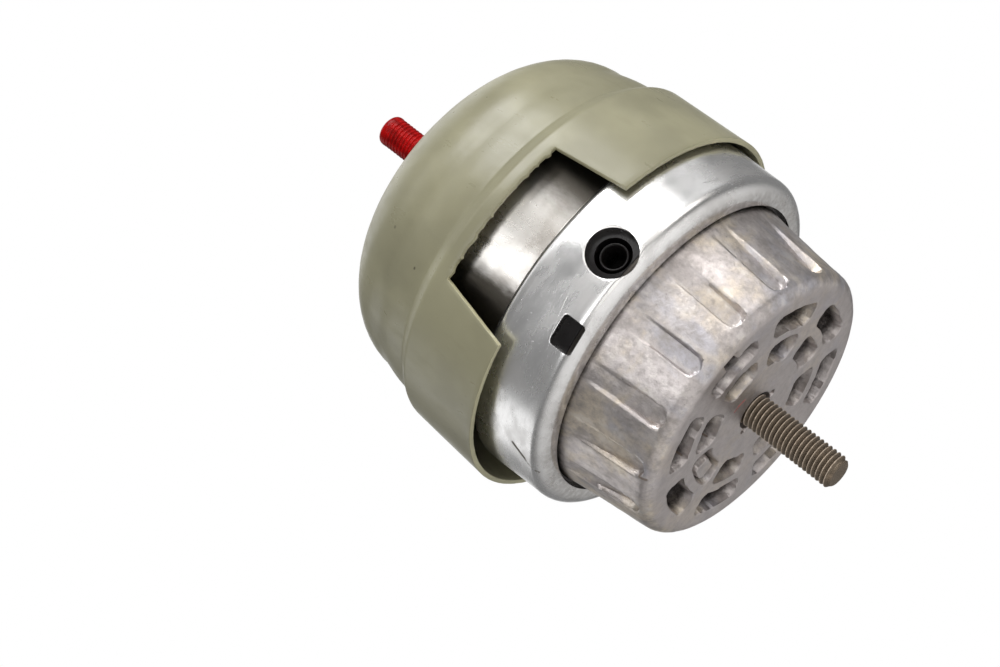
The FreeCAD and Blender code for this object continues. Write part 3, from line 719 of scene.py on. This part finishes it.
def shieldProfile(c=shield):
    across, flat = c["domeRadius"] - c["flat"], c["flat"]
    points = [(c["bore"], c["top"])]
    for degrees in range(0, 91, c["domeStep"]):
        a = math.radians(degrees)
        points.append((flat + across * math.sin(a), c["top"] - c["domeDepth"] * (1 - math.cos(a))))
    (high, top), (rimRadius, rimHeight) = c["shoulder"], c["rim"]
    share = (top - c["windowTop"]) / (top - rimHeight)
    return points + [(*c["swell"], 2.5, 4), (*c["crease"], 0.35, 2), (*c["shoulder"], 0.8, 4),
                     (high + (rimRadius - high) * share, c["windowTop"]), c["rim"]]


def roughenEdge(vert, turn, c=shield):
    rough = noise.noise(Vector((vert.co.x * 0.9, vert.co.y * 0.9, vert.co.z * 0.6)))
    if abs(vert.co.z - c["windowTop"]) < 0.1 and abs(turn) < c["windowHalf"] - 0.5:
        torn = ease(noise.noise(Vector((turn * 0.6, 3.3, 0))), 0.2, 0.4)
        vert.co.z += c["rough"] * rough - c["torn"] * torn
    elif vert.co.z > c["rim"][1] + 0.3:
        angle = math.radians(turn)
        sideways = Vector((math.cos(angle), math.sin(angle), 0)) * (1 if turn > 0 else -1)
        vert.co += c["roughSide"] * rough * sideways
    else:
        vert.co.z += c["rough"] * rough + c["rimLift"]


def makeHeatShield(c=shield):
    points = shieldProfile()
    bm = bmesh.new()
    middle, half = c["windowAzimuth"], c["windowHalf"]
    for start, sweep, steps in ((middle - half, 2 * half, c["stepsWindow"]),
                                (middle + half, 360 - 2 * half, c["stepsRest"])):
        part = bmesh.new()
        drawProfile(part, points)
        splitLong(part, c["row"])
        turnAbout(part, start)
        spinWire(part, steps, sweep)
        joinPart(bm, part)
    closeSheet(bm)
    gone = [f for f in bm.faces if f.calc_center_median().z < c["windowTop"] and
            abs(turnBetween(azimuthOf(f.calc_center_median()), middle)) < half]
    bmesh.ops.delete(bm, geom=gone, context="FACES")
    for vert in bm.verts:
        turn = turnBetween(azimuthOf(vert.co), middle)
        near = 1 - ease(abs(abs(turn) - half), 0.0, c["leanReach"])
        lean = c["windowLean"][turn > 0] * (c["windowTop"] - vert.co.z) * near
        if lean > 0 and vert.co.xy.length > c["skirtFrom"]:
            turnAbout(bm, math.copysign(lean, turn), verts=[vert])
        if vert.is_boundary and vert.co.xy.length >= c["edgeFrom"]:
            roughenEdge(vert, turn)
    for vert in bm.verts:
        if vert.co.xy.length > c["sagFrom"]:
            pushOut(vert, waver(vert.co, *c["waver"]) - c["inset"])
    turnAbout(bm, c["tilt"], axis=onRound(1, c["lowAzimuth"] + 90, 0), centre=(0, 0, c["pivot"]))
    piece = finishPiece("heatShield", bm, [shieldPlastic, shieldCut], ["heat_shield"],
                        sharp=50)
    addWall(piece, c["wall"], edge=0.2, rimMaterial=1)


makeHeatShield()


lowerStud = {"pitch": 1.5, "crest": 5.0, "depth": 0.9, "steps": 48, "threadTop": 1.2, "chamfer": 1.2,
             "shank": 4.5, "press": 5.5, "hole": 7.0, "floor": 13.0, "head": 9.0, "headTop": 17.0}
upperStud = {"pitch": 1.25, "crest": 4.0, "depth": 0.75, "steps": 40, "chamfer": 1.2}


def screwThread(c, low, high):
    bm = bmesh.new()
    pitch, crest, root = c["pitch"], c["crest"], c["crest"] - c["depth"]
    turns = math.ceil((high - low) / pitch) + 3
    start = low - 1.5 * pitch
    ridge = ((root + 0.04, 0.0), (root, 0.06), (root + 0.04, 0.12),
             (crest - 0.06, 0.50), (crest, 0.56), (crest - 0.06, 0.62))
    drawProfile(bm, [(radius, start + i * pitch + pitch * share)
                     for i in range(turns) for radius, share in ridge])
    spinWire(bm, c["steps"], 360, pitch)
    bmesh.ops.remove_doubles(bm, verts=bm.verts, dist=0.004)
    for height, up in ((low, -1), (high, 1)):
        bmesh.ops.bisect_plane(bm, geom=bm.verts[:] + bm.edges[:] + bm.faces[:], plane_co=(0, 0, height),
                               plane_no=(0, 0, up), clear_outer=True)
    bmesh.ops.remove_doubles(bm, verts=bm.verts, dist=0.004)
    bmesh.ops.holes_fill(bm, edges=[e for e in bm.edges if e.is_boundary], sides=0)
    bmesh.ops.recalc_face_normals(bm, faces=bm.faces)
    return bm


def chamferTip(bm, tip, inwards, c):
    for vert in bm.verts:
        depth = (vert.co.z - tip) * inwards
        spare = vert.co.xy.length - (c["crest"] - c["chamfer"] + depth)
        if -0.01 <= depth < c["chamfer"] and spare > 0:
            pushOut(vert, -spare)


def makeLowerStud(c=lowerStud):
    tip = heights("lower_stud")[0]
    bm = screwThread(c, tip, c["threadTop"])
    chamferTip(bm, tip, 1, c)
    start, head = c["threadTop"] - 1, c["head"]
    body = bmesh.new()
    drawProfile(body, [(0, start), (c["shank"], start), (c["shank"], c["hole"]), (c["press"], c["hole"]),
                       (c["press"], c["floor"]), (head, c["floor"], 0.4, 2), (head, c["headTop"], 0.8, 3),
                       (0, c["headTop"])])
    spinWire(body, c["steps"])
    closeUp(body)
    joinPart(bm, body)
    finishPiece("lowerStud", bm, [studSteel], ["lower_stud"], sharp=40)


def makeUpperStud(c=upperStud):
    low, high = heights("upper_stud")
    bm = screwThread(c, low, high)
    chamferTip(bm, high, -1, c)
    finishPiece("upperStud", bm, [upperStudSteel], ["upper_stud"], sharp=40)


threadCap = {"outer": 4.75, "inner": 4.05, "end": 1.0, "corner": 1.7, "steps": 72, "row": 0.16,
             "ringPitch": 1.25, "ringDepth": 0.34, "ringsFrom": (0.5, 1.8), "ringsTo": (4.0, 2.4),
             "inset": 0.06, "waver": (0.06, 0.4)}


def makeThreadCap(c=threadCap):
    low, high = heights("thread_cap")
    bm = bmesh.new()
    drawProfile(bm, [(0, high), (c["outer"], high, c["corner"], 6), (c["outer"], low, 0.2, 1),
                     (c["inner"], low), (c["inner"], high - c["end"], 1.0, 3), (0, high - c["end"])])
    splitLong(bm, c["row"])
    spinWire(bm, c["steps"])
    closeUp(bm)
    rise, full = (low + d for d in c["ringsFrom"])
    fall, none = (high - d for d in c["ringsTo"])
    for vert in bm.verts:
        height = vert.co.z
        if vert.co.xy.length > c["outer"] - 0.6 and rise < height < none + 0.2:
            turn = azimuthOf(vert.co) / 360
            groove = 0.5 + 0.5 * math.cos(2 * math.pi * ((height - low) / c["ringPitch"] - turn))
            fade = ease(height, rise, full) * (1 - ease(height, fall, none))
            dent = c["ringDepth"] * groove ** 1.5 * fade
            pushOut(vert, -dent - c["inset"] - waver(vert.co, *c["waver"]))
    finishPiece("threadCap", bm, [capPlastic], ["thread_cap"], sharp=60)


makeLowerStud()
makeUpperStud()
makeThreadCap()


port = {"azimuth": collar["hole"][0], "height": collar["hole"][1], "seat": 52.55, "recess": 11.0,
        "steps": 72, "bore": 3.2, "nipple": 4.4, "foot": 5.2, "footDepth": 1.6, "setback": 0.8,
        "neckDepth": (2.1, 2.4), "neckInset": 0.35}


def makeVacuumPort(c=port):
    bm = bmesh.new()
    floor, end, inset = c["seat"] - c["recess"], c["seat"] - c["setback"], c["neckInset"]
    foot, (neckTop, neckFoot) = floor + c["footDepth"], c["neckDepth"]
    drawProfile(bm, [(c["bore"], floor), (c["foot"], floor), (c["foot"], foot, 0.3, 2),
                     (c["nipple"], foot, 0.4, 3), (c["nipple"], end - neckFoot, 0.2, 2),
                     (c["nipple"] - inset, end - neckTop), (c["nipple"] - inset, end, 0.3, 3),
                     (c["bore"] + inset, end, 0.25, 3), (c["bore"], end - 0.6)], closed=True)
    spinWire(bm, c["steps"])
    closeUp(bm)
    turnAbout(bm, 90, axis="X")
    bmesh.ops.translate(bm, vec=(0, 0, c["height"]), verts=bm.verts)
    turnAbout(bm, c["azimuth"])
    finishPiece("vacuumPort", bm, [blackPlastic], ["vacuum_port"], sharp=40)


makeVacuumPort()
print("pieces made")


studio = {"floorHeight": -0.45, "floorRadius": 3.0, "aim": (0, 0, 0.05),
          "backdrop": 1.0, "sides": 0.21, "backdropEdge": (0.93, 0.975)}
camera = {"place": (-0.02676, -0.77038, -0.27924), "forward": (0.0, 0.9089, 0.417), "roll": 51.6,
          "lens": 108.0, "sensor": 36.0, "clip": (0.01, 20.0)}
white, warm = (1, 1, 1), (1.0, 0.97, 0.93)
# Azimuth, elevation, distance in metres, width and height in metres, watts, colour.
softboxes = {
    "key": (41, 37, 1.2, 0.98, 0.62, 13.0, white),
    "lowLeft": (-22, 9, 1.2, 0.66, 0.26, 1.7, white),
    "highLeft": (-15, 62, 1.2, 0.60, 0.35, 0.8, white),
    "floorGlow": (12, -14, 1.2, 1.20, 0.32, 1.2, (1.0, 0.98, 0.95)),
    "lowRight": (60, 8, 1.2, 0.55, 0.34, 1.5, warm),
    "lowFront": (14, 8, 1.25, 0.85, 0.30, 0.9, warm),
    "overhead": (180, 66, 1.2, 0.90, 0.80, 2.0, white),
    "fillLeft": (-108, 24, 1.2, 0.80, 0.70, 1.5, white),
    "fillRight": (92, 28, 1.2, 0.50, 0.40, 0.35, white),
}


def makeFloor(c=studio):
    bm = bmesh.new()
    bmesh.ops.create_circle(bm, cap_ends=True, segments=96, radius=c["floorRadius"])
    bmesh.ops.translate(bm, vec=(0, 0, c["floorHeight"]), verts=bm.verts)
    mesh = bpy.data.meshes.new("floor")
    bm.to_mesh(mesh)
    bm.free()
    floor = bpy.data.objects.new("floor", mesh)
    paper = Finish("floorPaper", (0.78, 0.78, 0.77), roughness=0.7)
    paper.set("Base Color", paper.mix((0.88, 0.87, 0.86), (0.92, 0.91, 0.90), paper.noise(0.004)))
    mesh.materials.append(paper.material)
    bpy.context.scene.collection.objects.link(floor)


# The sky is white where the camera looks and grey at the sides.
def makeWorld(c=studio):
    world = bpy.data.worlds.new("studio")
    bpy.context.scene.world = world
    world.use_nodes = True
    sky = Nodes(world.node_tree)
    place = sky.node("ShaderNodeTexCoord", {}, {}, "Generated")
    facing = sky.node("ShaderNodeVectorMath", {"operation": "DOT_PRODUCT"}, {0: place, 1: camera["forward"]},
                      "Value")
    spread = sky.band(facing, *c["backdropEdge"], c["sides"], c["backdrop"])
    sky.plug(sky.tree.nodes["Background"].inputs["Color"], spread)


def addSoftbox(name, azimuth, elevation, distance, wide, high, watts, colour):
    up = math.radians(elevation)
    away = onRound(math.cos(up), azimuth, math.sin(up))
    lamp = bpy.data.lights.new(name, "AREA")
    lamp.shape, lamp.size, lamp.size_y, lamp.energy, lamp.color = "RECTANGLE", wide, high, watts, colour
    holder = bpy.data.objects.new(name, lamp)
    place = Matrix.Translation(Vector(studio["aim"]) + away * distance)
    holder.matrix_world = place @ away.to_track_quat("Z", "Y").to_matrix().to_4x4()
    bpy.context.scene.collection.objects.link(holder)


def makeCamera(c=camera):
    forward = Vector(c["forward"]).normalized()
    level = Vector((1, 0, 0))
    upright = level.cross(forward)
    roll = math.radians(c["roll"])
    up = math.cos(roll) * upright + math.sin(roll) * level
    right = forward.cross(up)
    lens = bpy.data.cameras.new("camera")
    lens.lens, lens.sensor_width = c["lens"], c["sensor"]
    lens.clip_start, lens.clip_end = c["clip"]
    eye = bpy.data.objects.new("camera", lens)
    turn = Matrix((right, up, -forward)).transposed().to_4x4()
    eye.matrix_world = Matrix.Translation(Vector(c["place"])) @ turn
    bpy.context.scene.collection.objects.link(eye)
    bpy.context.scene.camera = eye


makeFloor()
makeWorld()
for name, settings in softboxes.items():
    addSoftbox(name, *settings)
makeCamera()
bpy.context.scene.view_settings.view_transform = "Standard"
print("studio made")
